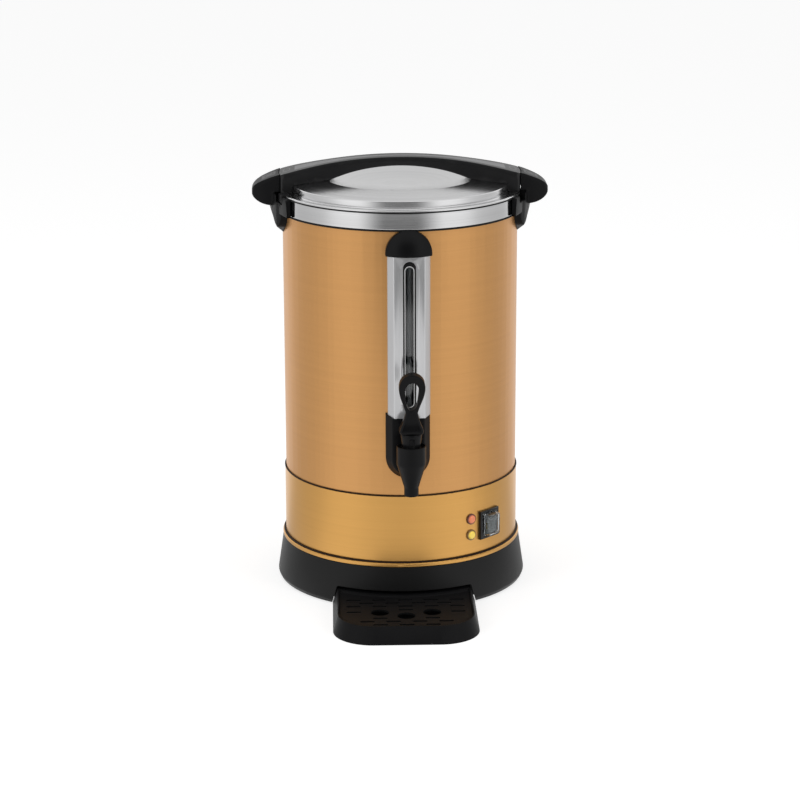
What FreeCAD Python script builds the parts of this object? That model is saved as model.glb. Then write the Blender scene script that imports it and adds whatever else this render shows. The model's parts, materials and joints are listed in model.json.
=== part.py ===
import FreeCAD
import Part
import os
from math import cos, radians, sin, sqrt, tan

# Filter coffee urn. Millimetres, +Z up from the table, tap, gauge and drip tray
# towards -Y, side handles along X. Everything is built round the drum's axis and
# then moved by drum_y, so that the origin is the table point under the middle of
# the whole urn.

# Driving dimensions
drum_y = 48.705         # drum's axis behind the middle of the whole urn
drum_r = 120.0          # gold upper shell, outside
sheet = 0.8             # sheet of shells, band, tank and collar
seam_z = 118.3          # top edge of the lower band
shell_top = 404.0       # the shell ends inside the collar
base_r = 129.7          # foot of the base ring
base_top_r = 123.9
base_foot = 1.0         # lower edge of the base ring above the table
base_top = 44.0
base_wall = 2.6
ledge_r = 104.0         # inner edge of the ring's top ledge
band_r = drum_r + 1.1   # lower band, outside
bead_r = 124.2
bead_top = 48.2
collar_z = 391.0
collar_r = 122.5
collar_top = 408.2
tank_r = 108.0          # inside of the tank: 10 litres to the brim of the basket
tank_floor = 121.0
well_r = 30.0           # heated well under the pump bell
well_floor = 115.0
gap = 0.3               # free play between pieces that move

flange_z = 408.6        # lid flange, underside
flange_r = 121.8
lid_sheet = 0.9
lid_wall_r = 111.4
lid_shoulder_z = 417.5
dish_r = 75.5
dish_rim_z = 421.6
dish_depth = 7.0
pan_r = 105.5
pan_floor = 397.0

bar_end_r = 122.8       # the lid bar ends here, the side handles start at handle_in_r
handle_in_r = 123.7
lug_angle = 15.0        # bayonet lugs, measured from the handle line
lug_half = 3.2
lug_swing = 11.0        # the lid turns this far to lock
lug_top = 410.6
lug_foot = 402.7
bracket_angle = 25.5
bracket_top = 409.2

tap_turn = 2.4          # tap and gauge stand this many degrees round towards +X
housing_turn = 1.8      # its housing, a little less
tap_y = -151.0          # axis of the spout
tap_z = 171.0           # axis of the tap's inlet
barrel_r = 14.6
barrel_top = 180.5
valve_floor = 162.0
outlet_r = 7.2
outlet_z = 129.0
spout_bore = 4.8
stem_r = 2.9
pin_z = 198.6           # lever pin
pin_r = 1.6
bonnet_top = 193.4
lever_lean = 15.0       # the loop leans towards the user from lean_z upwards
lean_z = 202.5

gauge_front = -131.0
gauge_half = 21.3
gauge_face_half = 15.4
gauge_z0 = 202.6        # joint of gauge cover and tap housing at their front
gauge_slant = 0.23
gauge_z1 = 366.0
slot_half = 6.45
slot_z0 = 211.0
slot_z1 = 361.5
tube_y = -124.9
tube_r = 3.0

panel_z = 77.8          # middle of the switch
switch_angle = 45.9
lamp_angle = 34.4
lamp_z = (87.0, 70.2)
inlet_z = 80.0

opening_top = 20.0      # opening in the base ring that takes the tray
tray_back = -100.0
tray_rim_r = 132.4      # the grille starts this far from the drum axis
tray_z0 = 0.0
tray_z1 = 16.2
grille_top = 15.2
grille_sheet = 2.0

stem_top = 380.0        # percolator tube
basket_r = 80.0
basket_z0 = 302.0
basket_z1 = 368.0

V = FreeCAD.Vector
up = V(0, 0, 1)
right = V(1, 0, 0)
back = V(0, 1, 0)


def plan(z):
    return lambda u, v: V(u, v, z)


def front(y):
    return lambda u, v: V(u, y, v)


def side(x):
    return lambda u, v: V(x, u, v)


def outline(points, place):
    # Closed wire through corners (u, v) or (u, v, radius of the corner)
    corners = []
    for i, point in enumerate(points):
        here = V(point[0], point[1], 0)
        if len(point) == 2:
            corners.append((here, None, here))
            continue
        before = V(points[i - 1][0], points[i - 1][1], 0) - here
        after = V(points[(i + 1) % len(points)][0], points[(i + 1) % len(points)][1], 0) - here
        before.normalize()
        after.normalize()
        half = before.getAngle(after) / 2
        inward = before + after
        inward.normalize()
        centre = here + inward * (point[2] / sin(half))
        reach = point[2] / tan(half)
        corners.append((here + before * reach, centre - inward * point[2], here + after * reach))
    edges = []
    for i, (start, middle, end) in enumerate(corners):
        if middle is not None:
            edges.append(Part.Arc(*(place(p.x, p.y) for p in (start, middle, end))).toShape())
        following = corners[(i + 1) % len(corners)][0]
        if end.distanceToPoint(following) > 1e-6:
            edges.append(Part.makeLine(place(end.x, end.y), place(following.x, following.y)))
    return Part.Wire(edges)


def prism(points, place, reach):
    return Part.Face(outline(points, place)).extrude(reach)


def spun(points, x=0.0, y=0.0, angle=360.0):
    # Turned about a vertical axis from an (r, z) outline
    shape = Part.Face(outline(points, front(0))).revolve(V(0, 0, 0), up, angle)
    shape.translate(V(x, y, 0))
    return shape


def sector(r0, r1, z0, z1, a0, a1):
    # Part of a ring between two angles in degrees from +X
    piece = spun([(r0, z0), (r1, z0), (r1, z1), (r0, z1)], angle=a1 - a0)
    return turned(piece, a0)


def turned(shape, angle):
    shape = shape.copy()
    shape.rotate(V(0, 0, 0), up, angle)
    return shape


def at_front(shape, angle):
    # From the -Y side round to an angle towards +X
    return turned(shape, angle)


def block(x0, x1, y0, y1, z0, z1):
    return Part.makeBox(x1 - x0, y1 - y0, z1 - z0, V(x0, y0, z0))


def rod(radius, start, direction, length):
    return Part.makeCylinder(radius, length, start, direction)


def joined(shapes):
    shapes = list(shapes)
    return shapes[0].multiFuse(shapes[1:]).removeSplitter() if len(shapes) > 1 else shapes[0]


def group(shapes):
    return Part.makeCompound(list(shapes))


def racetrack(half, z0, z1, y, reach):
    # Upright slot form with round ends, from y towards +Y
    corner = half - 0.001
    points = [(-half, z0, corner), (half, z0, corner), (half, z1, corner), (-half, z1, corner)]
    return prism(points, front(y), back * reach)


def drum_core(radius, z0=0.0, z1=460.0):
    return rod(radius, V(0, 0, z0), up, z1 - z0)


def screw(head_r, shank_r, head, length):
    # Pan head at the origin with its shank along +Z
    return spun([
        (0, -head), (head_r, -head, head * 0.6), (head_r, 0), (shank_r, 0), (shank_r, length), (0, length)])


def placed(shape, x, y, z, axis=None, angle=0.0):
    shape = shape.copy()
    if axis is not None:
        shape.rotate(V(0, 0, 0), axis, angle)
    shape.translate(V(x, y, z))
    return shape


# Base

def base_ring():
    inner = base_top - base_wall
    ring = spun([
        (127.9, base_foot), (base_r, base_foot + 3.8, 3.2), (base_top_r, base_top, 0.8),
        (ledge_r, base_top), (ledge_r, inner), (base_top_r - base_wall, inner, 1.5),
        (base_r - base_wall - 0.3, base_foot + 4, 2.0), (base_r - base_wall - 0.3, base_foot)])
    posts = [rod(4.6, V(*polar(post_r, a), 7.6), up, inner - 7.5) for a in quarter_angles]
    ring = joined([ring] + posts)
    cuts = [rod(1.65, V(*polar(post_r, a), 7.0), up, 16) for a in quarter_angles]
    notch = block(-1.6, 1.6, -base_r - 1, -base_r + 6, base_foot - 1, base_foot + 3.4)
    cuts += [at_front(notch, angle) for angle in (-76, 72)]
    cuts.append(prism([
        (-74.0, -1), (74.0, -1), (68.6, opening_top, 3.0), (-68.6, opening_top, 3.0)],
        front(-140), back * 45))
    return ring.cut(group(cuts))


post_r = 114.5
quarter_angles = [45 + 90 * k for k in range(4)]


def polar(radius, angle):
    return radius * cos(radians(angle)), radius * sin(radians(angle))


def base_cover():
    disc = spun([(0, 5.0), (126.1, 5.0), (126.1, 7.5), (0, 7.5)])
    # Pocket over the inner end of the drip tray
    shell = block(-76.6, 76.6, -130, -96.8, 5.0, 22.4).common(drum_core(124.0))
    space = block(-74.8, 74.8, -140, -98.6, 4.0, 20.6)
    slots = [turned(block(44, 72, -1.6, 1.6, 4, 9), 15 + 30 * k) for k in range(12)]
    holes = [rod(1.8, V(*polar(post_r, a), 4), up, 5) for a in quarter_angles]
    return disc.fuse(shell).cut(group([space] + slots + holes)).removeSplitter()


def rubber_feet():
    foot = spun([(0, 0), (9, 0, 1.2), (8, 5.0), (0, 5.0)])
    return group(placed(foot, *polar(97, a), 0) for a in quarter_angles)


def base_screws():
    return group(placed(screw(3.2, 1.6, 1.6, 14), *polar(post_r, a), 5.0) for a in quarter_angles)


def lower_band():
    band = spun([
        (band_r - sheet, seam_z, 0.3), (band_r, seam_z, 0.45), (band_r, bead_top + 0.4, 0.3),
        (bead_r, bead_top, 1.7), (bead_r, base_top + 0.1, 0.9), (ledge_r + 1, base_top + 0.1),
        (ledge_r + 1, base_top + 0.1 + sheet), (band_r - sheet, base_top + 0.1 + sheet)])
    cuts = [at_front(block(-11.2, 11.2, -125, -110, panel_z - 14.0, panel_z + 14.0), switch_angle)]
    for z in lamp_z:
        cuts.append(at_front(rod(4.75, V(0, -125, z), back, 15), lamp_angle))
    cuts.append(block(-14.0, 14.0, 110, 125, inlet_z - 10.2, inlet_z + 10.2))
    for x in (-inlet_screw_x, inlet_screw_x):
        cuts.append(rod(1.8, V(x, 110, inlet_z), back, 15))
    return band.cut(group(cuts))


inlet_screw_x = 20.0


# Drum

def outer_shell():
    shell = spun([(drum_r - sheet, 110), (drum_r, 110), (drum_r, shell_top), (drum_r - sheet, shell_top)])
    cuts = [at_front(rod(9.2, V(0, -125, tap_z), back, 15), tap_turn)]
    for a in handle_screw_angles:
        for z in handle_screw_z:
            x, y = polar(110, a)
            cuts.append(rod(1.9, V(x, y, z), V(x, y, 0), 15))
    return shell.cut(group(cuts))


handle_screw_angles = (-9, 9, 171, 189)
handle_screw_z = (381.0,)


def rim_collar():
    return spun([
        (drum_r + 0.3, collar_z, 0.3), (collar_r - 0.2, collar_z, 1.0), (collar_r, collar_top, 1.4),
        (117.0, collar_top), (117.0, collar_top - sheet), (collar_r - 1.2, collar_top - sheet, 0.5),
        (collar_r - 1.2, collar_z + 1.2), (drum_r + 0.3, collar_z + 1.2)])


def tank_liner():
    outer = tank_r + sheet
    lip = collar_top - 0.9
    pot = spun([
        (0, well_floor - sheet), (well_r + 0.5, well_floor - sheet, 3.4),
        (well_r + 3, tank_floor - sheet, 2.0),
        (outer, tank_floor - sheet, 12.8), (outer, lip - sheet, 1.2), (119.0, lip - sheet), (119.0, lip),
        (tank_r, lip, 2.0), (tank_r, tank_floor, 12.0), (well_r + 2.4, tank_floor, 2.8),
        (well_r, well_floor, 2.6), (0, well_floor)])
    return pot.cut(at_front(rod(9.2, V(0, -112, tap_z), back, 15), tap_turn))


# Heating and wiring under the tank

def heater_plate():
    top = tank_floor - sheet - 0.02
    plate = spun([(37, top - 3.6), (92, top - 3.6, 1.0), (92, top), (37, top)])
    return plate.cut(rod(8.4, V(cutout_x, 0, top - 5), up, 3.2))


cutout_x = 52.0
element_r = 74.0
element_tube = 4.0


def heating_element():
    z = tank_floor - sheet - 3.62 - element_tube
    section = Part.Face(Part.Wire(Part.makeCircle(element_tube, V(element_r, 0, z), back)))
    pieces = [turned(section.revolve(V(0, 0, 0), up, 318), 90 + 21)]
    for a in (90 - 21, 90 + 21):
        x, y = polar(element_r, a)
        pieces.append(Part.makeSphere(element_tube, V(x, y, z)))
        pieces.append(rod(element_tube, V(x, y, z), V(0, 0, -1), 14))
        pieces.append(rod(1.6, V(x, y, z - 13), V(0, 0, -1), 9))
    return joined(pieces)


def thermostat():
    top = well_floor - sheet
    disc = spun([(0, top - 9), (12, top - 9, 1), (12, top - 2.4), (14.5, top - 2.4), (14.5, top), (0, top)])
    tabs = [block(x - 0.4, x + 0.4, -3.1, 3.1, top - 17, top - 8.5) for x in (-6, 6)]
    return joined([disc] + tabs)


def thermal_cutout():
    top = tank_floor - sheet - 3.62
    disc = spun([(0, top - 8), (8, top - 8, 0.8), (8, top), (0, top)], cutout_x)
    tabs = [block(x - 0.4, x + 0.4, -3.1, 3.1, top - 15, top - 7.5) for x in (cutout_x - 4.5, cutout_x + 4.5)]
    return joined([disc] + tabs)


def terminal_block():
    body = block(-26, 26, 30, 46, 7.5, 24)
    cuts = [rod(2.0, V(x, 38, 18), up, 8) for x in (-20, -10, 0, 10, 20)]
    cuts += [rod(2.2, V(x, 29, 14), back, 20) for x in (-20, -10, 0, 10, 20)]
    return body.cut(group(cuts))


# Appliance inlet at the back

def power_inlet():
    shroud = block(-24.5, 24.5, 112, 125.0, inlet_z - 14, inlet_z + 14)
    shroud = shroud.makeFillet(1.6, [e for e in shroud.Edges if min(v.Point.y for v in e.Vertexes) > 124])
    body = block(-13.7, 13.7, 93, 122, inlet_z - 9.8, inlet_z + 9.8)
    piece = shroud.cut(drum_core(band_r + 0.02)).fuse(body)
    cavity = prism([
        (-12.4, inlet_z - 8.2, 1.2), (12.4, inlet_z - 8.2, 1.2), (12.4, inlet_z + 3.4),
        (7.6, inlet_z + 8.2), (-7.6, inlet_z + 8.2), (-12.4, inlet_z + 3.4)], front(105), back * 25)
    holes = [rod(1.8, V(x, 110, inlet_z), back, 20) for x in (-inlet_screw_x, inlet_screw_x)]
    slots = [pin_block(x, z, 90, 110, 0.05) for x, z in inlet_pin_places]
    return piece.cut(group([cavity] + holes + slots))


inlet_pin_places = ((-7.0, inlet_z - 2.0), (0.0, inlet_z + 2.0), (7.0, inlet_z - 2.0))


def pin_block(x, z, y0, y1, play):
    return block(x - 1.0 - play, x + 1.0 + play, y0, y1, z - 2.0 - play, z + 2.0 + play)


def inlet_pins():
    pins = []
    for x, z in inlet_pin_places:
        pin = pin_block(x, z, 86, 121, 0)
        pins.append(pin.makeFillet(0.6, [e for e in pin.Edges if min(v.Point.y for v in e.Vertexes) > 120]))
    return group(pins)


def inlet_screws():
    return group(placed(screw(3.2, 1.6, 1.7, 12), x, 125.0, inlet_z, right, 90)
                 for x in (-inlet_screw_x, inlet_screw_x))


# Switch and lamps, each made at the front and turned round the drum

def switch_housing():
    bezel = block(-13.8, 13.8, -124.2, -114, panel_z - 15.0, panel_z + 15.0)
    bezel = bezel.makeFillet(1.6, [e for e in bezel.Edges if max(v.Point.y for v in e.Vertexes) < -124])
    bezel = bezel.cut(drum_core(band_r + 0.02))
    body = block(-11.0, 11.0, -122, -94, panel_z - 13.8, panel_z + 13.8)
    tabs = [block(x - 0.4, x + 0.4, -94.2, -85, panel_z - 3.1, panel_z + 3.1) for x in (-7, 0, 7)]
    bay = block(-7.9, 7.9, -126, -105, panel_z - rocker_bay, panel_z + rocker_bay)
    sockets = rod(rocker_pin + 0.06, V(-8.9, rocker_y, panel_z), right, 17.8)
    return at_front(joined([bezel, body] + tabs).cut(group([bay, sockets])), switch_angle)


rocker_bay = 10.9
rocker_y = -115.5       # hinge of the rocker, in the front view before turning
rocker_rest = 7.0
rocker_pin = 1.3


def switch_rocker():
    nose = rocker_y - 11.3
    shape = prism([
        (nose, panel_z - 8.6, 0.8), (nose + 1.2, panel_z, 24.0), (nose, panel_z + 8.6, 0.8),
        (rocker_y - 2, panel_z + 9.6, 1.0), (rocker_y + 3.5, panel_z + 3.6, 2.0),
        (rocker_y + 3.5, panel_z - 3.6, 2.0), (rocker_y - 2, panel_z - 9.6, 1.0)], side(-6.9), right * 13.8)
    shape.rotate(V(0, rocker_y, panel_z), right, rocker_rest)
    pivot = rod(rocker_pin, V(-8.6, rocker_y, panel_z), right, 17.2)
    return at_front(joined([shape, pivot]), switch_angle)


def switch_cover():
    return at_front(hood(0.0).cut(hood(0.8)), switch_angle)


def hood(inset):
    # Clear splash cap: a low box that tapers towards its front
    def ring(half, tall, y, corner):
        return outline([
            (-half, panel_z - tall, corner), (half, panel_z - tall, corner),
            (half, panel_z + tall, corner), (-half, panel_z + tall, corner)], front(y))
    y0 = -124.2 + (1.0 if inset else 0.0)
    foot = ring(9.1 - inset, 12.0 - inset, y0, 1.6)
    head = ring(8.0 - inset, 10.8 - inset, -130.0 + inset, 1.6)
    return Part.makeLoft([foot, head], True, True)


def lamp_lens(z):
    lens = spun([(0, 3.6), (4.0, 3.6, 2.2), (4.2, 1.9, 0.3), (5.6, 1.6, 0.8), (5.6, -0.4), (0, -0.4)])
    lens = placed(lens, 0, -band_r, z, right, 90)
    return at_front(lens.cut(drum_core(band_r + 0.02)), lamp_angle)


def lamp_bodies():
    pieces = []
    for z in lamp_z:
        stub = rod(4.6, V(0, -band_r + 1.2, z), back, 18)
        nut = prism([polar(7.4, 60 * k) for k in range(6)], plan(0), up * 3.2)
        nut = placed(nut, 0, -band_r + 4.2, z, right, -90)
        pieces.append(at_front(joined([stub, nut]), lamp_angle))
    return group(pieces)


# Side handles, the right one made first and turned half round for the left

grip_sections = (
    (118.0, 429.0, 20.5, 396.5, 21.4),
    (129.0, 426.3, 19.2, 396.7, 20.4),
    (137.5, 422.9, 17.4, 397.8, 18.6),
    (143.8, 419.7, 15.2, 400.2, 16.0),
    (148.2, 416.3, 12.4, 403.4, 12.8),
    (150.5, 412.7, 9.2, 407.0, 9.4))


def bar_section(x, top, top_half, foot, foot_half):
    # Section across the handle: flat top strip, a narrow bevel, sides out to the foot
    return outline([
        (-foot_half, foot, 2.0), (foot_half, foot, 2.0), (top_half + 1.1, top - 3.6),
        (top_half, top, 0.7), (-top_half, top, 0.7), (-top_half - 1.1, top - 3.6)], side(x))


def side_handle():
    grip = Part.makeLoft([bar_section(*s) for s in grip_sections], True, False)
    cheeks = prism([
        (108, bracket_top), (133.5, bracket_top), (132.6, 395.0, 4.0), (129.3, 387.0, 12.0),
        (127.1, 379.6, 12.0), (123.0, 374.2, 12.0), (117.6, 367.0), (108, 367.0)], front(-40), back * 80)
    shield = prism([
        (-37.5, bracket_top), (37.5, bracket_top), (37.5, 392.0, 1.5), (33.0, 379.0, 14.0),
        (14.5, 368.0, 9.0), (-14.5, 368.0, 9.0), (-33.0, 379.0, 14.0), (-37.5, 392.0, 1.5)],
        side(100), right * 40)
    dome = rod(58.0, V(75.2, 0, 350), up, 70)
    wrap = turned(spun([
        (122.9, collar_z - 0.6, 0.5), (127.2, collar_z - 0.6, 1.6), (127.2, bracket_top, 1.6),
        (122.9, bracket_top)], angle=2 * bracket_angle), -bracket_angle)
    body = joined([grip, cheeks.common(shield).common(dome), wrap])
    recess = lug_foot - 0.9
    cuts = [
        drum_core(drum_r + 0.1, 350, collar_z - 0.6),
        drum_core(collar_r + 0.35, collar_z - 0.7, bracket_top + 1),
        drum_core(handle_in_r, bracket_top, 440),
        sector(122.3, 126.8, recess, lug_top + 0.6, lug_angle - lug_half - lug_swing - 1.0, lug_angle),
        sector(122.3, 129.0, recess, lug_top + 0.6, lug_angle - 6.5, lug_angle + 5.0),
        sector(122.3, 129.0, recess, lug_top + 0.6, -lug_angle - 5.0, 6.5 - lug_angle)]
    for angle in handle_screw_angles[:2]:
        for z in handle_screw_z:
            x, y = polar(110, angle)
            cuts.append(rod(1.65, V(x, y, z), V(x, y, 0), 15.8))
    return body.cut(group(cuts))


def handle_screws():
    pieces = []
    for angle in handle_screw_angles:
        for z in handle_screw_z:
            piece = placed(screw(3.4, 1.6, 1.6, 6.0), drum_r - sheet - 0.1, 0, z)
            piece.rotate(V(drum_r - sheet - 0.1, 0, z), back, 90)
            pieces.append(turned(piece, angle))
    return group(pieces)


# Lid

def lid_form(inset):
    # Solid under the lid's skin: straight wall, sloped shoulder, finger dish
    form = spun([
        (0, flange_z - 1), (lid_wall_r - inset, flange_z - 1),
        (lid_wall_r - 0.4 - inset, lid_shoulder_z - inset, 1.4), (dish_r, dish_rim_z - inset, 3.0),
        (0, dish_rim_z - inset)])
    ball_r = (dish_r ** 2 + dish_depth ** 2) / (2 * dish_depth)
    ball = Part.makeSphere(ball_r + inset, V(0, 0, dish_rim_z - dish_depth + ball_r))
    return form.cut(ball)


def lid_shell():
    skin = lid_form(0).cut(lid_form(lid_sheet)).common(block(-130, 130, -130, 130, flange_z, 430))
    flange = spun([
        (lid_wall_r - lid_sheet, flange_z), (flange_r, flange_z, 0.35), (flange_r, flange_z + 1.0, 0.35),
        (lid_wall_r - lid_sheet, flange_z + 1.0)])
    lid = joined([skin, flange])
    holes = [rod(1.9, V(x, y, 410), up, 15) for x, y in lid_screw_places]
    return lid.cut(group(holes))


lid_screw_places = [(x, y) for x in (-92.0, 92.0) for y in (-8.0, 8.0)]


def lid_inner_pan():
    top = flange_z - 0.02
    return spun([
        (0, pan_floor), (pan_r + 1.8, pan_floor, 0.3), (pan_r + 1.8, pan_floor + 1.0, 0.3),
        (pan_r, pan_floor + 1.0),
        (pan_r, top - sheet), (116.4, top - sheet), (116.4, top), (pan_r - sheet, top),
        (pan_r - sheet, pan_floor + sheet), (0, pan_floor + sheet)])


def lid_seal():
    return spun([
        (pan_r + 0.35, 398.4, 0.3), (tank_r - 0.4, 399.2, 0.4), (tank_r - 1.1, 400.6),
        (tank_r - 0.4, 402.0, 0.4), (pan_r + 0.35, 403.0, 0.3)])


bar_sections = (
    (0.0, 444.3, 12.0, 435.2, 12.2),
    (26.0, 443.6, 12.1, 433.4, 12.4),
    (50.0, 441.6, 12.8, 428.6, 13.2),
    (74.0, 438.3, 14.6, 420.4, 15.6),
    (95.0, 434.4, 18.0, 413.0, 19.4),
    (111.0, 430.8, 20.3, 409.0, 21.3),
    (126.0, 426.7, 20.5, 409.0, 21.4))


def lid_bar():
    half = [bar_section(*s) for s in bar_sections]
    mirrored = [bar_section(-s[0], *s[1:]) for s in bar_sections[1:]]
    bar = Part.makeLoft(mirrored[::-1] + half, True, False)
    bar = bar.common(drum_core(bar_end_r, 400, 450))
    seat = spun([(0, 400), (130, 400), (130, flange_z + 1.02), (0, flange_z + 1.02)])
    bar = bar.cut(lid_form(0)).cut(seat)
    lugs = []
    for turn in (0, 180):
        a0, a1 = lug_angle - lug_half, lug_angle + lug_half
        lugs.append(turned(sector(collar_r + 0.5, 126.3, lug_foot, lug_top, a0, a1), turn))
        lugs.append(turned(sector(117.0, 126.3, flange_z + 1.02, lug_top, a0, a1), turn))
        lugs.append(turned(sector(117.0, bar_end_r, flange_z + 1.02, lug_top, a0 - 5.0, a1), turn))
    body = joined([bar] + lugs)
    holes = [rod(1.65, V(x, y, 410), up, 20.5) for x, y in lid_screw_places]
    return body.cut(group(holes))


def lid_screws():
    places = []
    for x, y in lid_screw_places:
        level = shoulder_height(sqrt(x * x + y * y)) - lid_sheet - 0.35
        places.append(placed(screw(3.2, 1.6, 1.6, 11), x, y, level))
    return group(places)


def shoulder_height(radius):
    slope = (dish_rim_z - lid_shoulder_z) / (lid_wall_r - 0.4 - dish_r)
    return dish_rim_z - (radius - dish_r) * slope


# Level gauge

def gauge_form(inset, z0, z1):
    half, face = gauge_half - inset, gauge_face_half - inset * 0.6
    nose = gauge_front + inset
    return prism([
        (-half, -112), (-half, -122.4, 2.0), (-face, nose, 1.6), (face, nose, 1.6), (half, -122.4, 2.0),
        (half, -112)], plan(z0), up * (z1 - z0))


def below_joint(shift):
    # Everything under the slanting joint of gauge cover and tap housing
    def level(y):
        return gauge_z0 + shift + (y - gauge_front) * gauge_slant
    return prism([(-150, 120), (-100, 120), (-100, level(-100)), (-150, level(-150))], side(-40), right * 80)


def gauge_cover():
    shell = gauge_form(0, 195, gauge_z1).cut(gauge_form(0.9, 190, gauge_z1 + 1)).cut(below_joint(0.1))
    rim = racetrack(slot_half + 3.3, slot_z0 - 4.6, slot_z1 + 1.9, gauge_front - 0.5, 1.0)
    cover = shell.fuse(rim).cut(racetrack(slot_half, slot_z0, slot_z1, gauge_front - 2, 6))
    return cover.cut(drum_core(drum_r + 0.05)).removeSplitter()


def gauge_insert():
    plate = block(-9.5, 9.5, gauge_front + 0.95, gauge_front + 2.6, slot_z0 - 3, slot_z1 + 3)
    boss = racetrack(slot_half - 0.1, slot_z0 + 0.1, slot_z1 - 0.1, gauge_front + 0.5, 1.2)
    window = racetrack(window_half, window_z0, window_z1, gauge_front - 1, 6)
    return plate.fuse(boss).cut(window).removeSplitter()


window_half = 4.2
window_z0 = 214.4
window_z1 = 356.2


def gauge_window():
    return racetrack(window_half - 0.05, window_z0 + 0.05, window_z1 - 0.05, gauge_front + 0.25, 1.6)


def sight_tube():
    return spun([(tube_r - 1.0, 197.0), (tube_r, 197.0), (tube_r, 372.0), (tube_r - 1.0, 372.0)], 0, tube_y)


def gauge_seals():
    inner = tube_r + 0.02
    lower = spun([(inner, 197.4), (seal_r, 197.4), (seal_r, 207.0, 0.4), (inner, 207.0)], 0, tube_y)
    upper = spun([
        (0, 379.0), (4.4, 379.0, 1.0), (4.4, 368.0, 0.8), (inner, 368.0), (inner, 372.2), (1.2, 372.2),
        (1.2, 376.0), (0, 376.0)], 0, tube_y)
    return group([lower, upper])


def cap_form(inset):
    face = rod(23.0 - inset, V(0, -140, 368.0), back, 40)
    ball = Part.makeSphere(34.0 - inset, V(0, -99.6, 366.5))
    return face.common(ball)


def gauge_cap():
    solid = cap_form(0).common(block(-30, 30, -140, -100, gauge_z1 - 0.1, 390.7))
    hollow = cap_form(2.0).common(block(-30, 30, -140, -100, gauge_z1 - 5, 388.5))
    throat = gauge_form(-0.05, gauge_z1 - 5, gauge_z1 + 2.0)
    return solid.cut(hollow).cut(throat.common(hollow)).cut(drum_core(drum_r + 0.05))


# Tap

def housing_form(inset):
    # Channel with a half-round lower end and the same bevel all round
    half, face = 22.1 - inset, 16.1 - inset * 0.6
    nose = gauge_front - 0.7 + inset
    body = prism([
        (-half, -112), (-half, -122.4, 2.4), (-face, nose, 2.0), (face, nose, 2.0), (half, -122.4, 2.4),
        (half, -112)], plan(housing_end), up * (215 - housing_end))
    section = Part.Face(outline([
        (0, -112), (half, -112), (half, -122.4, 2.4), (face, nose, 2.0), (0, nose)], plan(housing_end)))
    return body.fuse(section.revolve(V(0, 0, housing_end), back, 180)).removeSplitter()


housing_end = 160.5


def tap_housing():
    shell = housing_form(0).common(below_joint(0)).cut(housing_form(1.8))
    hole = at_front(rod(11.5, V(0, -140, tap_z), back, 15), tap_turn - housing_turn)
    return shell.cut(hole).cut(drum_core(drum_r + 0.05))


def tap_body():
    taper = 137.5
    barrel = spun([
        (spout_bore, outlet_z), (outlet_r, outlet_z, 0.8), (outlet_r, taper, 6.0),
        (barrel_r, valve_floor, 9.0), (barrel_r, barrel_top, 0.8), (boss_r, barrel_top),
        (boss_r, valve_floor), (spout_bore, valve_floor)], 0, tap_y)
    boss = rod(boss_r, V(0, tap_y + 8, tap_z), back, shank_y - 0.02 - (tap_y + 8))
    cuts = [
        rod(boss_r, V(0, tap_y, valve_floor), up, 30), rod(inlet_r, V(0, tap_y, tap_z), back, 60),
        rod(spigot_r + 0.03, V(0, shank_y - spigot - 0.02, tap_z), back, 20)]
    return joined([barrel, boss]).cut(group(cuts))


boss_r = 11.0
inlet_r = 6.0
shank_y = -130.6        # the body is pushed on the shank's spigot in front of this
spigot_r = 8.0
spigot = 5.0


def tap_shank():
    # Inlet through both walls, with the riser that takes the sight tube
    pieces = [
        rod(spigot_r, V(0, shank_y - spigot, tap_z), back, spigot + 1),
        rod(boss_r, V(0, shank_y, tap_z), back, -122.6 - shank_y),
        rod(8.6, V(0, -123, tap_z), back, 26.5),
        rod(riser_r, V(0, tube_y, tap_z), up, 206.4 - tap_z)]
    cuts = [
        rod(inlet_r, V(0, tap_y, tap_z), back, 60), rod(2.2, V(0, tube_y, tap_z), up, 30),
        rod(seal_r + 0.02, V(0, tube_y, 196.9), up, 12)]
    return joined(pieces).cut(group(cuts))


seal_r = 3.65
riser_r = 4.6


def tap_gaskets():
    outer = rod(11.5, V(0, -122.6, tap_z), back, 6).cut(drum_core(drum_r + 0.02))
    inner = rod(14.0, V(0, -109, tap_z), back, 4).common(drum_core(tank_r - 0.02))
    hole = rod(8.65, V(0, -130, tap_z), back, 40)
    riser = rod(riser_r + 0.05, V(0, tube_y, tap_z), up, 30)
    return group([outer.cut(group([hole, riser])), inner.cut(hole)])


def tap_spacer():
    ring = rod(12.0, V(0, -122, tap_z), back, 16).cut(rod(8.65, V(0, -124, tap_z), back, 24))
    return ring.common(drum_core(drum_r - sheet - 0.02)).cut(drum_core(tank_r + sheet + 0.02))


def tap_nut():
    nut = prism([polar(15.0, 60 * k) for k in range(6)], plan(0), up * 7)
    nut = placed(nut, 0, -105.0, tap_z, right, -90)
    return nut.cut(rod(8.65, V(0, -120, tap_z), back, 30))


def tap_bonnet():
    ceiling = bonnet_top - 4.0
    cap = spun([
        (10.9, 174.0), (10.9, barrel_top - 1.2, 0.4), (9.2, barrel_top - 0.8), (10.6, bonnet_top - 1.6),
        (10.2, bonnet_top, 0.6), (stem_r + 0.08, bonnet_top), (stem_r + 0.08, ceiling), (7.2, ceiling),
        (7.2, 174.0)], 0, tap_y)
    return cap.cut(block(-2.5, 2.5, tap_y - 12, tap_y - 8.0, barrel_top + 1.0, bonnet_top - 4.4))


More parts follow.
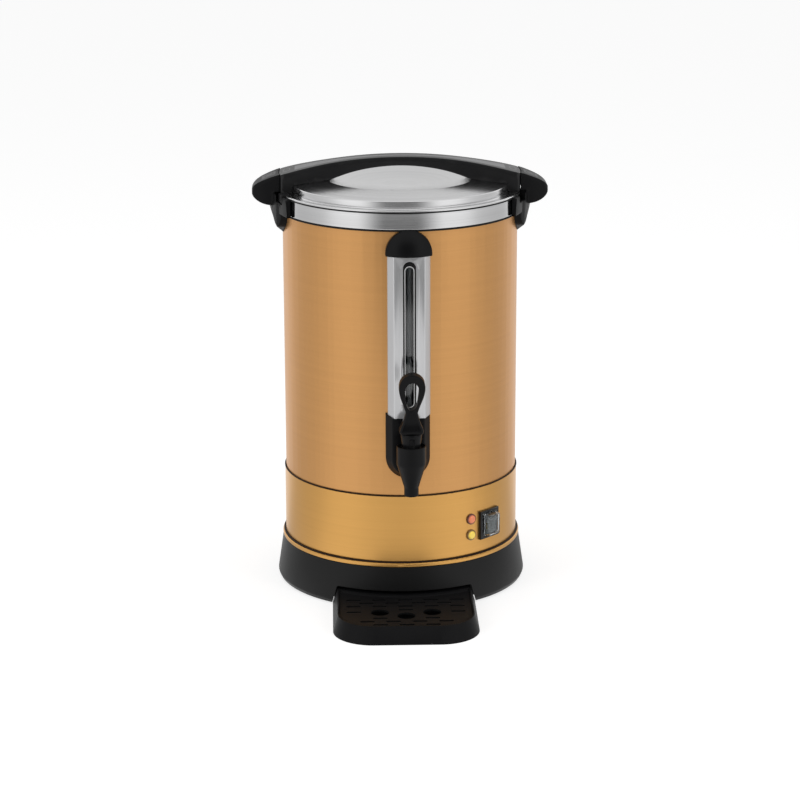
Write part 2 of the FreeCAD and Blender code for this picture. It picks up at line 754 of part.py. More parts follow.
def tap_stem():
    rod_part = spun([
        (0, 163.6), (3.0, 163.6), (3.0, 168.2), (6.2, 168.2, 0.4), (6.2, 170.0, 0.4), (stem_r, 170.0),
        (stem_r, pin_z - 3.0), (0, pin_z - 3.0)], 0, tap_y)
    eye = rod(3.4, V(-3.3, tap_y, pin_z), right, 6.6)
    neck = block(-2.4, 2.4, tap_y - 2.4, tap_y + 2.4, pin_z - 4.6, pin_z)
    return joined([rod_part, eye, neck]).cut(rod(pin_r + 0.06, V(-5, tap_y, pin_z), right, 10))


def seat_cup():
    return spun([
        (0, valve_floor + 0.05), (7.6, valve_floor + 0.05, 1.4), (8.6, 168.1, 1.2), (3.02, 168.1),
        (3.02, 163.5), (0, 163.5)], 0, tap_y)


def valve_spring():
    wire, coil, low, high = 0.45, 5.2, 170.5, bonnet_top - 4.5
    turns, steps = 5, 14
    curve = Part.BSplineCurve()
    rise = (high - low) / (turns * steps)
    curve.interpolate([V(*polar(coil, 360 * k / steps), low + rise * k) for k in range(turns * steps + 1)])
    start = curve.value(curve.FirstParameter)
    circle = Part.Wire(Part.makeCircle(wire, start, curve.tangent(curve.FirstParameter)[0]))
    spring = Part.Wire(curve.toShape()).makePipeShell([circle], True, True)
    spring.translate(V(0, tap_y, 0))
    return spring


def lever_pin():
    return rod(pin_r, V(-9.6, tap_y, pin_z), right, 19.2)


def tap_lever():
    # Foot with a curved skirt, then a loop that leans forward
    def ring(z, half, deep):
        y = tap_y - max(0, z - lean_z) * tan(radians(lever_lean))
        near, far = y - deep, y + deep
        return outline([(-half, near, 3.0), (half, near, 3.0), (half, far, 3.0), (-half, far, 3.0)], plan(z))
    foot = Part.makeLoft([ring(*level) for level in lever_levels], True, False)
    body = foot.fuse(leaning(loop_blade())).cut(leaning(loop_window()))
    pocket = block(-3.6, 3.6, tap_y - 7.4, tap_y + 4.0, 190, pin_z + 3.9)
    pin_hole = rod(pin_r, V(-9.6, tap_y, pin_z), right, 19.2)
    return body.cut(pocket).cut(pin_hole).removeSplitter()


lever_levels = (
    (bonnet_top + 0.4, 10.9, 8.2),
    (196.4, 11.9, 8.5),
    (202.0, 10.0, 7.8),
    (208.0, 7.9, 6.2),
    (214.0, 6.3, 4.8),
    (220.0, 5.8, 3.5))


def leaning(shape):
    shape = shape.copy()
    shape.translate(V(0, tap_y, 0))
    shape.rotate(V(0, tap_y, lean_z), right, lever_lean)
    return shape


def loop_blade():
    curve = Part.BSplineCurve()
    curve.interpolate([V(x, 0, z) for x, z in (
        (-6.0, 217.0), (-9.6, 228.5), (-12.9, 242.0), (-9.8, 254.6), (0, 259.5), (9.8, 254.6),
        (12.9, 242.0), (9.6, 228.5), (6.0, 217.0))])
    corners = [V(6.0, 0, 217.0), V(5.6, 0, 209.0), V(-5.6, 0, 209.0), V(-6.0, 0, 217.0)]
    ends = [Part.makeLine(start, end) for start, end in zip(corners, corners[1:])]
    blade = Part.Face(Part.Wire([curve.toShape()] + ends)).extrude(back * 7.2)
    blade.translate(V(0, -3.6, 0))
    return blade.makeFillet(1.0, [e for e in blade.Edges if e.Length > 60])


def loop_window():
    curve = Part.BSplineCurve()
    curve.interpolate([V(x, 0, z) for x, z in (
        (0, 219.6), (4.4, 223.4), (6.2, 232.0), (6.8, 241.0), (4.7, 248.4), (0, 251.0), (-4.7, 248.4),
        (-6.8, 241.0), (-6.2, 232.0), (-4.4, 223.4))], PeriodicFlag=True)
    window = Part.Face(Part.Wire(curve.toShape())).extrude(back * 20)
    window.translate(V(0, -10, 0))
    return window


# Drip tray

def tray_outline(inset, z):
    share = (z - tray_z0) / (tray_z1 - tray_z0)
    half = 72.8 - 4.8 * share - inset
    nose = -227.0 + 9.6 * share + inset
    corner = 40.0 - 4.0 * share - inset
    end = tray_back - inset
    return outline([(-half, end), (-half, nose, corner), (half, nose, corner), (half, end)], plan(z))


def tray_form(inset, z0, z1):
    return Part.makeLoft([tray_outline(inset, z0), tray_outline(inset, z1)], True, True)


def drip_tray():
    body = tray_form(0, tray_z0, tray_z1)
    well = tray_form(3.6, tray_z0 + 2.0, tray_z1 + 1).cut(drum_core(tray_rim_r + 1.6))
    seat = tray_form(2.2, grille_top - grille_sheet, tray_z1 + 1).cut(drum_core(tray_rim_r))
    hollow = tray_form(2.4, tray_z0 - 1, tray_z1 - 2.0).common(drum_core(tray_rim_r - 1.0, -5, 30))
    return body.cut(well).cut(seat).cut(hollow)


slot_length = 15.0
slot_width = 3.6
slot_pitch = 26.0
hole_r = 9.1
hole_places = ((-26.0, -175.8), (0.0, -185.6), (26.0, -175.8))


def grille_slots():
    # Rows from the drum outwards: y, places of the slots in half pitches
    rows = (
        (-139.5, (-4, -2, 0, 2, 4)), (-148.6, (-3, -1, 1, 3)), (-157.8, (-4, -2, 0, 2, 4)),
        (-168.2, (0,)), (-174.0, (-4, 4)), (-192.0, (-2, 2)), (-201.2, (-3, -1, 1, 3)),
        (-210.4, (-2, 0, 2)))
    places = []
    for y, steps in rows:
        places += [(step * slot_pitch / 2, y) for step in steps]
    return places


def drip_grille():
    z0 = grille_top - grille_sheet
    plate = tray_form(2.5, z0, grille_top).cut(drum_core(tray_rim_r + 0.3))
    cuts = [rod(hole_r, V(x, y, z0 - 1), up, 5) for x, y in hole_places]
    for x, y in grille_slots():
        half, wide = slot_length / 2, slot_width / 2
        corner = wide - 0.01
        cuts.append(prism([
            (x - half, y - wide, corner), (x + half, y - wide, corner), (x + half, y + wide, corner),
            (x - half, y + wide, corner)], plan(z0 - 1), up * 5))
    return plate.cut(group(cuts))


# Percolator set inside the tank

def percolator_stem():
    skirt = well_floor + gap
    tube = spun([
        (5.0, skirt + 26), (6.0, skirt + 26), (6.0, basket_z0 - 1.6), (9.0, basket_z0 - 1.6),
        (9.0, basket_z0 - 0.05), (6.0, basket_z0 - 0.05), (6.0, stem_top, 0.4), (5.0, stem_top)])
    bell = spun([
        (27.6, skirt), (28.4, skirt), (28.4, skirt + 6, 4.0), (6.0, skirt + 27), (5.0, skirt + 27),
        (27.6, skirt + 5.4, 4.0)])
    inlets = [turned(rod(2.0, V(20, 0, skirt + 2.5), right, 15), 60 * k) for k in range(6)]
    return joined([tube, bell]).cut(group(inlets))


def coffee_basket():
    low, high = basket_z0, basket_z1
    cup = spun([
        (basket_mouth, low), (basket_r - 4, low, 3.0), (basket_r, high, 0.2), (basket_r + 3.5, high),
        (basket_r + 3.5, high + 0.8), (basket_r - sheet, high + 0.8),
        (basket_r - 4 - sheet, low + sheet, 2.4),
        (basket_mouth, low + sheet)])
    sleeve = spun([
        (6.4, low), (11.0, low), (11.0, low + sheet), (7.2, low + sheet), (7.2, high + 4), (6.4, high + 4)])
    spokes = [turned(block(10.5, basket_mouth + 0.5, -3, 3, low, low + sheet), 90 * k) for k in range(4)]
    return joined([cup, sleeve] + spokes)


basket_mouth = 70.0     # the floor is open inside this radius but for the spokes
strain_r = 1.2


def perforations(rows, z):
    holes = []
    for radius, count in rows:
        holes += [rod(strain_r, V(*polar(radius, 360.0 * k / count), z), up, 6) for k in range(count)]
    return group(holes)


def basket_strainer():
    low = basket_z0 + sheet + 0.03
    plate = spun([(7.6, low), (72.2, low), (72.2, low + 0.6), (7.6, low + 0.6)])
    rows = [(radius, radius * 3 // 4) for radius in range(16, 68, 8)]
    return plate.cut(perforations(rows, low - 3))


def basket_lid():
    low = basket_z1 + 0.82
    disc = spun([
        (7.6, low + 1.2), (24, low + 1.2, 4.0), (34, low - 3.0, 4.0), (basket_r - 6, low - 3.0, 2.0),
        (basket_r - 5, low, 1.2), (basket_r + 2.5, low), (basket_r + 2.5, low + 0.8),
        (basket_r - 6, low + 0.8, 1.0), (basket_r - 7, low - 2.2, 1.0), (34.4, low - 2.2, 4.0),
        (24.4, low + 2.0, 4.0), (7.6, low + 2.0)])
    return disc.cut(perforations(((42, 18), (50, 22), (58, 26), (66, 30)), low - 5))


nodes = {
    "base_ring": base_ring,
    "base_cover": base_cover,
    "rubber_feet": rubber_feet,
    "base_screws": base_screws,
    "lower_band": lower_band,
    "outer_shell": outer_shell,
    "rim_collar": rim_collar,
    "tank_liner": tank_liner,
    "heater_plate": heater_plate,
    "heating_element": heating_element,
    "thermostat": thermostat,
    "thermal_cutout": thermal_cutout,
    "terminal_block": terminal_block,
    "power_inlet": power_inlet,
    "inlet_pins": inlet_pins,
    "inlet_screws": inlet_screws,
    "switch_housing": switch_housing,
    "switch_rocker": switch_rocker,
    "switch_cover": switch_cover,
    "lamp_lens_red": lambda: lamp_lens(lamp_z[0]),
    "lamp_lens_yellow": lambda: lamp_lens(lamp_z[1]),
    "lamp_bodies": lamp_bodies,
    "side_handle_right": side_handle,
    "side_handle_left": lambda: turned(side_handle(), 180),
    "handle_screws": handle_screws,
    "lid_shell": lid_shell,
    "lid_inner_pan": lid_inner_pan,
    "lid_seal": lid_seal,
    "lid_bar": lid_bar,
    "lid_screws": lid_screws,
    "gauge_cover": lambda: at_front(gauge_cover(), tap_turn),
    "gauge_insert": lambda: at_front(gauge_insert(), tap_turn),
    "gauge_window": lambda: at_front(gauge_window(), tap_turn),
    "sight_tube": lambda: at_front(sight_tube(), tap_turn),
    "gauge_seals": lambda: at_front(gauge_seals(), tap_turn),
    "gauge_cap": lambda: at_front(gauge_cap(), tap_turn),
    "tap_housing": lambda: at_front(tap_housing(), housing_turn),
    "tap_body": lambda: at_front(tap_body(), tap_turn),
    "tap_shank": lambda: at_front(tap_shank(), tap_turn),
    "tap_gaskets": lambda: at_front(tap_gaskets(), tap_turn),
    "tap_spacer": lambda: at_front(tap_spacer(), tap_turn),
    "tap_nut": lambda: at_front(tap_nut(), tap_turn),
    "tap_bonnet": lambda: at_front(tap_bonnet(), tap_turn),
    "tap_stem": lambda: at_front(tap_stem(), tap_turn),
    "seat_cup": lambda: at_front(seat_cup(), tap_turn),
    "valve_spring": lambda: at_front(valve_spring(), tap_turn),
    "lever_pin": lambda: at_front(lever_pin(), tap_turn),
    "tap_lever": lambda: at_front(tap_lever(), tap_turn),
    "drip_tray": drip_tray,
    "drip_grille": drip_grille,
    "percolator_stem": percolator_stem,
    "coffee_basket": coffee_basket,
    "basket_strainer": basket_strainer,
    "basket_lid": basket_lid,
}

os.makedirs("parts", exist_ok=True)
for name, make in nodes.items():
    shape = make()
    shape.translate(V(0, drum_y, 0))
    shape.exportStep(f"parts/{name}.step")
    print(f"{name}: {len(shape.Solids)} solids, {shape.Volume / 1000:.1f} cm3, valid {shape.isValid()}")
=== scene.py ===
import json
from math import asin, atan2, cos, pi, radians, sin, tan

import bmesh
import bpy
from mathutils import Euler, Matrix, Vector


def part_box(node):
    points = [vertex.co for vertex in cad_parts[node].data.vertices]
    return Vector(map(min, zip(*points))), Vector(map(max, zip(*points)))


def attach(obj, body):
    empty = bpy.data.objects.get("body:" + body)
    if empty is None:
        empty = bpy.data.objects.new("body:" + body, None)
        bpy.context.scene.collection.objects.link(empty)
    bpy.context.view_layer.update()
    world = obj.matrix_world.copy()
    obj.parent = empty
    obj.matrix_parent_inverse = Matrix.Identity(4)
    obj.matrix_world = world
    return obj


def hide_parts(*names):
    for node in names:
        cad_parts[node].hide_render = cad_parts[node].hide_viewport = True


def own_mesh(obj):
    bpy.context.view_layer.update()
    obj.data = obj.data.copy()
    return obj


# Filter coffee urn. Metres, +Z up from the table, tap and drip tray towards -Y.

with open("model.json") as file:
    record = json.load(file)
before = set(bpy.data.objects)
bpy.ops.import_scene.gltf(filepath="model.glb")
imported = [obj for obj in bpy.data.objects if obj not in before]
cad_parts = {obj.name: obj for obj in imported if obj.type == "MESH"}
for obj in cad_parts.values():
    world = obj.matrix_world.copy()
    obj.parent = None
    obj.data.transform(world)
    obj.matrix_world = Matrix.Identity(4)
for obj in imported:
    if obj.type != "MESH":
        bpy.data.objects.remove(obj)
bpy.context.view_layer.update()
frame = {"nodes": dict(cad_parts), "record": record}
scene = bpy.context.scene
mm = 0.001
collarLow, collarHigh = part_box("rim_collar")
drumAxis = Vector(((collarLow.x + collarHigh.x) / 2, (collarLow.y + collarHigh.y) / 2, 0))
print("frame loaded")


# Camera

cameraPlace = {
    "distance": 2.52,       # from the drum's axis, in plan
    "height": 0.8808,
    "turn": -1.6,           # degrees; stands a little to the left of the tray's line
    "aside": -0.00052,
    "pitch": 15.42,
    "roll": -0.18,
    "lens": 112.66,
    "sensor": 36.0,
}


def makeCamera(place):
    data = bpy.data.cameras.new("camera")
    data.lens = place["lens"]
    data.sensor_width = place["sensor"]
    camera = bpy.data.objects.new("camera", data)
    scene.collection.objects.link(camera)
    turn = Matrix.Rotation(radians(place["turn"]), 4, "Z")
    spot = turn @ Vector((place["aside"], -place["distance"], place["height"]))
    tilt = Euler((radians(90 - place["pitch"]), 0, radians(place["turn"]))).to_matrix().to_4x4()
    roll = Matrix.Rotation(radians(place["roll"]), 4, "Z")
    camera.matrix_world = Matrix.Translation(spot + drumAxis) @ tilt @ roll
    scene.camera = camera


makeCamera(cameraPlace)


# Node helpers

def startGroup(name, inputs, outputs):
    tree = bpy.data.node_groups.new(name, "ShaderNodeTree")
    for label, kind, value in inputs:
        socket = tree.interface.new_socket(label, in_out="INPUT", socket_type=kind)
        if value is not None:
            socket.default_value = value
    for label, kind in outputs:
        tree.interface.new_socket(label, in_out="OUTPUT", socket_type=kind)
    return tree, tree.nodes.new("NodeGroupInput"), tree.nodes.new("NodeGroupOutput")


def placeGroup(tree, group, vector, **values):
    node = tree.nodes.new("ShaderNodeGroup")
    node.node_tree = group
    tree.links.new(vector, node.inputs["Vector"])
    for label, value in values.items():
        node.inputs[label].default_value = value
    return node


def addMath(tree, operation, first, second=None, clamp=False):
    node = tree.nodes.new("ShaderNodeMath")
    node.operation = operation
    node.use_clamp = clamp
    for slot, value in enumerate((first, second)):
        if value is None:
            continue
        if isinstance(value, (int, float)):
            node.inputs[slot].default_value = value
        else:
            tree.links.new(value, node.inputs[slot])
    return node.outputs[0]


def addNoise(tree, vector, scale, detail, rough):
    node = tree.nodes.new("ShaderNodeTexNoise")
    node.inputs["Detail"].default_value = detail
    node.inputs["Roughness"].default_value = rough
    if isinstance(scale, (int, float)):
        node.inputs["Scale"].default_value = scale
    else:
        tree.links.new(scale, node.inputs["Scale"])
    tree.links.new(vector, node.inputs["Vector"])
    return node.outputs["Fac"]


def addStretch(tree, vector, factors):
    node = tree.nodes.new("ShaderNodeVectorMath")
    node.operation = "MULTIPLY"
    node.inputs[1].default_value = factors
    tree.links.new(vector, node.inputs[0])
    return node.outputs["Vector"]


def splitVector(tree, vector):
    node = tree.nodes.new("ShaderNodeSeparateXYZ")
    tree.links.new(vector, node.inputs[0])
    return node.outputs


def lengthOf(tree, vector):
    node = tree.nodes.new("ShaderNodeVectorMath")
    node.operation = "LENGTH"
    tree.links.new(vector, node.inputs[0])
    return node.outputs["Value"]


def mapValue(tree, value, low, high, start=0.0, end=1.0, blend="LINEAR"):
    node = tree.nodes.new("ShaderNodeMapRange")
    node.interpolation_type = blend
    tree.links.new(value, node.inputs["Value"])
    for label, number in (("From Min", start), ("From Max", end), ("To Min", low), ("To Max", high)):
        node.inputs[label].default_value = number
    return node.outputs["Result"]


def blendValues(tree, mask, low, high):
    node = tree.nodes.new("ShaderNodeMix")
    tree.links.new(mask, node.inputs["Factor"])
    for label, value in (("A", low), ("B", high)):
        if isinstance(value, (int, float)):
            node.inputs[label].default_value = value
        else:
            tree.links.new(value, node.inputs[label])
    return node.outputs["Result"]


def blendColors(tree, mask, low, high):
    node = tree.nodes.new("ShaderNodeMix")
    node.data_type = "RGBA"
    factor, first, second, result = node.inputs[0], node.inputs[6], node.inputs[7], node.outputs[2]
    for socket, color in ((first, low), (second, high)):
        if isinstance(color, tuple):
            socket.default_value = (*color, 1)
        else:
            tree.links.new(color, socket)
    tree.links.new(mask, factor)
    return result


def blendShaders(tree, mask, low, high):
    node = tree.nodes.new("ShaderNodeMixShader")
    for slot, source in enumerate((mask, low, high)):
        tree.links.new(source, node.inputs[slot])
    return node.outputs[0]


def addRays(tree):
    # Rays that reach the camera straight or through glass, and rays that are mirrored
    path = tree.nodes.new("ShaderNodeLightPath")
    seen = addMath(tree, "MAXIMUM", path.outputs["Is Camera Ray"], path.outputs["Is Transmission Ray"])
    return seen, path.outputs["Is Glossy Ray"]


def objectVector(tree, factors=None):
    vector = tree.nodes.new("ShaderNodeTexCoord").outputs["Object"]
    return addStretch(tree, vector, factors) if factors else vector


def axisVector(tree):
    # Place from the foot of the drum's axis
    place = tree.nodes.new("ShaderNodeVectorMath")
    place.operation = "SUBTRACT"
    place.inputs[1].default_value = drumAxis
    tree.links.new(objectVector(tree), place.inputs[0])
    return place.outputs["Vector"]


# Light and floor

studio = {
    "room": 0.55,           # strength of the room on matt surfaces
    "white": 1.0,           # and where it is seen
    "floorSize": 16.0,
    "floorDrop": 0.0002,    # below the feet
    "floorGlow": 0.72,
    "floorColor": (0.42, 0.42, 0.42, 1),
    "softboxes": (
        # name, place, size, watts
        ("leftSoftbox", (-1.9, -1.7, 1.25), (0.8, 1.9), 16),
        ("rightSoftbox", (1.9, -1.9, 1.25), (0.7, 1.9), 13),
        ("topSoftbox", (0.0, 0.1, 2.3), (1.6, 1.2), 10),
    ),
    "target": (0, 0, 0.2),
    # What bright surfaces mirror: brightness by the angle from the front, and the dark
    # end of the room behind the camera
    "walls": (
        (0, 0.92), (28, 1.04), (50, 1.15), (84, 0.76), (112, 0.70), (140, 1.2), (165, 0.88), (180, 0.72)),
    "brightest": 2.0,               # top of that curve
    "darkWall": (13.0, 42.0),       # degrees from the front over which it fades out
    "darkDepth": 0.97,
    "frontAside": -0.8,             # degrees
    "darkFloor": (1.40, 1.54),      # metres in front of the drum where the floor turns dark
    "farFloor": (1.95, 2.4),        # and where it grows lighter again
    "farDark": 0.66,
    "darkRise": (0.42, 0.77),       # sine of the height at which the dark end gives way to the ceiling
}


def makeSurround(settings):
    # Brightness of the studio in the direction of a vector, as a mirror sees it
    tree, given, result = startGroup(
        "surround", [("Vector", "NodeSocketVector", None), ("Dark", "NodeSocketFloat", None)],
        [("Strength", "NodeSocketFloat")])
    turned = tree.nodes.new("ShaderNodeVectorRotate")
    turned.rotation_type = "Z_AXIS"
    turned.inputs["Angle"].default_value = radians(90 - settings["frontAside"])
    tree.links.new(given.outputs["Vector"], turned.inputs["Vector"])
    x, y = splitVector(tree, turned.outputs[0])[:2]
    turn = addMath(tree, "ABSOLUTE", addMath(tree, "ARCTAN2", y, x))
    walls = tree.nodes.new("ShaderNodeFloatCurve")
    curve = walls.mapping.curves[0]
    walls.mapping.clip_max_y = settings["brightest"]
    stops = settings["walls"]
    curve.points[0].location = (0.0, stops[0][1])
    curve.points[1].location = (1.0, stops[-1][1])
    for degree, strength in stops[1:-1]:
        curve.points.new(degree / 180, strength)
    walls.mapping.update()
    tree.links.new(addMath(tree, "DIVIDE", turn, pi), walls.inputs["Value"])
    limits = [radians(degree) for degree in settings["darkWall"]]
    front = mapValue(tree, turn, settings["darkDepth"], 0.0, *limits, "SMOOTHSTEP")
    dark = addMath(tree, "MULTIPLY", front, given.outputs["Dark"])
    lit = addMath(tree, "SUBTRACT", 1.0, dark)
    tree.links.new(addMath(tree, "MULTIPLY", lit, walls.outputs[0]), result.inputs["Strength"])
    return tree


surround = makeSurround(studio)


def makeSoftboxes(settings):
    for name, spot, size, watts in settings["softboxes"]:
        light = bpy.data.lights.new(name, "AREA")
        light.shape = "RECTANGLE"
        light.size, light.size_y = size
        light.energy = watts
        lamp = bpy.data.objects.new(name, light)
        scene.collection.objects.link(lamp)
        aim = (Vector(settings["target"]) - Vector(spot)).to_track_quat("-Z", "Y").to_matrix().to_4x4()
        lamp.matrix_world = Matrix.Translation(drumAxis + Vector(spot)) @ aim
        lamp.visible_glossy = False


def makeRoom(settings):
    world = bpy.data.worlds.new("room")
    world.use_nodes = True
    scene.world = world
    tree = world.node_tree
    background = tree.nodes["Background"]
    background.inputs["Color"].default_value = (1, 1, 1, 1)
    seen, glossy = addRays(tree)
    direction = tree.nodes.new("ShaderNodeTexCoord").outputs["Generated"]
    mirrored = placeGroup(tree, surround, direction)
    height = splitVector(tree, direction)[2]
    dark = mapValue(tree, height, 1.0, 0.0, *settings["darkRise"], "SMOOTHSTEP")
    tree.links.new(dark, mirrored.inputs["Dark"])
    plain = blendValues(tree, seen, settings["room"], settings["white"])
    strength = blendValues(tree, glossy, plain, mirrored.outputs["Strength"])
    tree.links.new(strength, background.inputs["Strength"])


def floorMaterial(settings):
    material = bpy.data.materials.new("paleFloor")
    material.use_nodes = True
    tree = material.node_tree
    tree.nodes.remove(tree.nodes["Principled BSDF"])
    seen, glossy = addRays(tree)
    matt = tree.nodes.new("ShaderNodeBsdfDiffuse")
    matt.inputs["Color"].default_value = settings["floorColor"]
    glow = tree.nodes.new("ShaderNodeEmission")
    glow.inputs["Strength"].default_value = settings["floorGlow"]
    both = tree.nodes.new("ShaderNodeAddShader")
    tree.links.new(matt.outputs[0], both.inputs[0])
    tree.links.new(glow.outputs[0], both.inputs[1])
    place = axisVector(tree)
    mirrored = placeGroup(tree, surround, place)
    reach = lengthOf(tree, place)
    near = mapValue(tree, reach, 0.0, 1.0, *settings["darkFloor"], "SMOOTHSTEP")
    far = mapValue(tree, reach, 1.0, settings["farDark"], *settings["farFloor"], "SMOOTHSTEP")
    tree.links.new(addMath(tree, "MULTIPLY", near, far), mirrored.inputs["Dark"])
    shine = tree.nodes.new("ShaderNodeEmission")
    tree.links.new(mirrored.outputs["Strength"], shine.inputs["Strength"])
    pale = blendShaders(tree, seen, matt.outputs[0], both.outputs[0])
    surface = blendShaders(tree, glossy, pale, shine.outputs[0])
    tree.links.new(surface, tree.nodes["Material Output"].inputs["Surface"])
    return material


def makeFloor(settings):
    bm = bmesh.new()
    bmesh.ops.create_grid(bm, x_segments=1, y_segments=1, size=settings["floorSize"] / 2)
    bmesh.ops.translate(bm, verts=bm.verts, vec=(0, 0, -settings["floorDrop"]))
    mesh = bpy.data.meshes.new("floor")
    bm.to_mesh(mesh)
    bm.free()
    floor = bpy.data.objects.new("floor", mesh)
    scene.collection.objects.link(floor)
    mesh.materials.append(floorMaterial(settings))


makeSoftboxes(studio)
makeRoom(studio)
makeFloor(studio)
scene.view_settings.view_transform = "Standard"
print("camera, lights and floor made")


# Shader node groups; a noise is its scale, detail and roughness

brush = {
    "fine": (1.0, 4.0, 0.7), "fineShare": 0.6, "wide": (0.06, 2.0, 0.5), "wideMiddle": 0.5, "least": 0.2,
}


def makeBrushLines(settings):
    # Fine lines along the brushing and wide soft streaks, from a vector already stretched along it
    tree, given, result = startGroup(
        "brushLines", [("Vector", "NodeSocketVector", None), ("Streaks", "NodeSocketFloat", 0.35)],
        [("Tone", "NodeSocketFloat"), ("Lines", "NodeSocketFloat")])
    fine = addNoise(tree, given.outputs["Vector"], *settings["fine"])
    wide = addNoise(tree, given.outputs["Vector"], *settings["wide"])
    swing = addMath(tree, "SUBTRACT", wide, settings["wideMiddle"])
    streaks = addMath(tree, "MULTIPLY", swing, given.outputs["Streaks"])
    lines = addMath(tree, "MULTIPLY", fine, settings["fineShare"])
    tone = addMath(tree, "ADD", lines, addMath(tree, "ADD", streaks, settings["least"]), True)
    tree.links.new(tone, result.inputs["Tone"])
    tree.links.new(fine, result.inputs["Lines"])
    return tree


mould = {
    "grain": (3.0, 0.65),           # detail and roughness; each finish has its own scale
    "patches": (26.0, 3.0, 0.55),
}


def makeMouldGrain(settings):
    # Spark-eroded texture of moulded plastic, with slow patches of more and less polish
    tree, given, result = startGroup(
        "mouldGrain", [("Vector", "NodeSocketVector", None), ("Scale", "NodeSocketFloat", 900.0)],
        [("Grain", "NodeSocketFloat"), ("Polish", "NodeSocketFloat")])
    grain = addNoise(tree, given.outputs["Vector"], given.outputs["Scale"], *settings["grain"])
    patches = addNoise(tree, given.outputs["Vector"], *settings["patches"])
    tree.links.new(grain, result.inputs["Grain"])
    tree.links.new(patches, result.inputs["Polish"])
    return tree


touch = {
    "smears": (42.0, 5.0, 0.6), "smearStretch": (1.0, 1.0, 0.35), "smearFrom": 0.45, "smearGain": 2.2,
    "specks": (700.0, 2.0, 0.4), "speckFrom": 0.74, "speckShare": 0.4,
}


def makeHandling(settings):
    # Smears and dust that gather where hands and cloths pass
    tree, given, result = startGroup(
        "handling", [("Vector", "NodeSocketVector", None), ("Amount", "NodeSocketFloat", 0.2)],
        [("Mask", "NodeSocketFloat")])
    stretched = addStretch(tree, given.outputs["Vector"], settings["smearStretch"])
    smears = addNoise(tree, stretched, *settings["smears"])
    specks = addNoise(tree, given.outputs["Vector"], *settings["specks"])
    spots = addMath(tree, "GREATER_THAN", specks, settings["speckFrom"])
    above = addMath(tree, "SUBTRACT", smears, settings["smearFrom"], True)
    body = addMath(tree, "MULTIPLY", above, settings["smearGain"])
    both = addMath(tree, "ADD", body, addMath(tree, "MULTIPLY", spots, settings["speckShare"]), True)
    tree.links.new(addMath(tree, "MULTIPLY", both, given.outputs["Amount"]), result.inputs["Mask"])
    return tree


brushLines = makeBrushLines(brush)
mouldGrain = makeMouldGrain(mould)
handling = makeHandling(touch)


# Materials

reliefDepth = 0.0002        # metres that a full step of a bump stands for
waveDepth = 0.0005          # and on clear parts


def startMaterial(name, settings):
    material = bpy.data.materials.new(name)
    material.use_nodes = True
    shader = material.node_tree.nodes["Principled BSDF"]
    for label in ("Metallic", "Roughness", "IOR", "Anisotropic", "Coat Weight", "Transmission Weight",
                  "Specular IOR Level"):
        if label in settings:
            shader.inputs[label].default_value = settings[label]
    if "Color" in settings:
        shader.inputs["Base Color"].default_value = (*settings["Color"], 1)
    return material, material.node_tree, shader


def radialVector(tree, factors):
    # Distance from the drum's axis, place across it and height, for lines that run round the axis
    x, y, z = splitVector(tree, axisVector(tree))
    squares = addMath(tree, "ADD", addMath(tree, "MULTIPLY", x, x), addMath(tree, "MULTIPLY", y, y))
    together = tree.nodes.new("ShaderNodeCombineXYZ")
    for slot, value in enumerate((addMath(tree, "SQRT", squares), x, z)):
        tree.links.new(addMath(tree, "MULTIPLY", value, factors[slot]), together.inputs[slot])
    return together.outputs[0]


def addBump(tree, shader, height, strength, distance):
    bump = tree.nodes.new("ShaderNodeBump")
    bump.inputs["Strength"].default_value = strength
    bump.inputs["Distance"].default_value = distance
    tree.links.new(height, bump.inputs["Height"])
    tree.links.new(bump.outputs["Normal"], shader.inputs["Normal"])


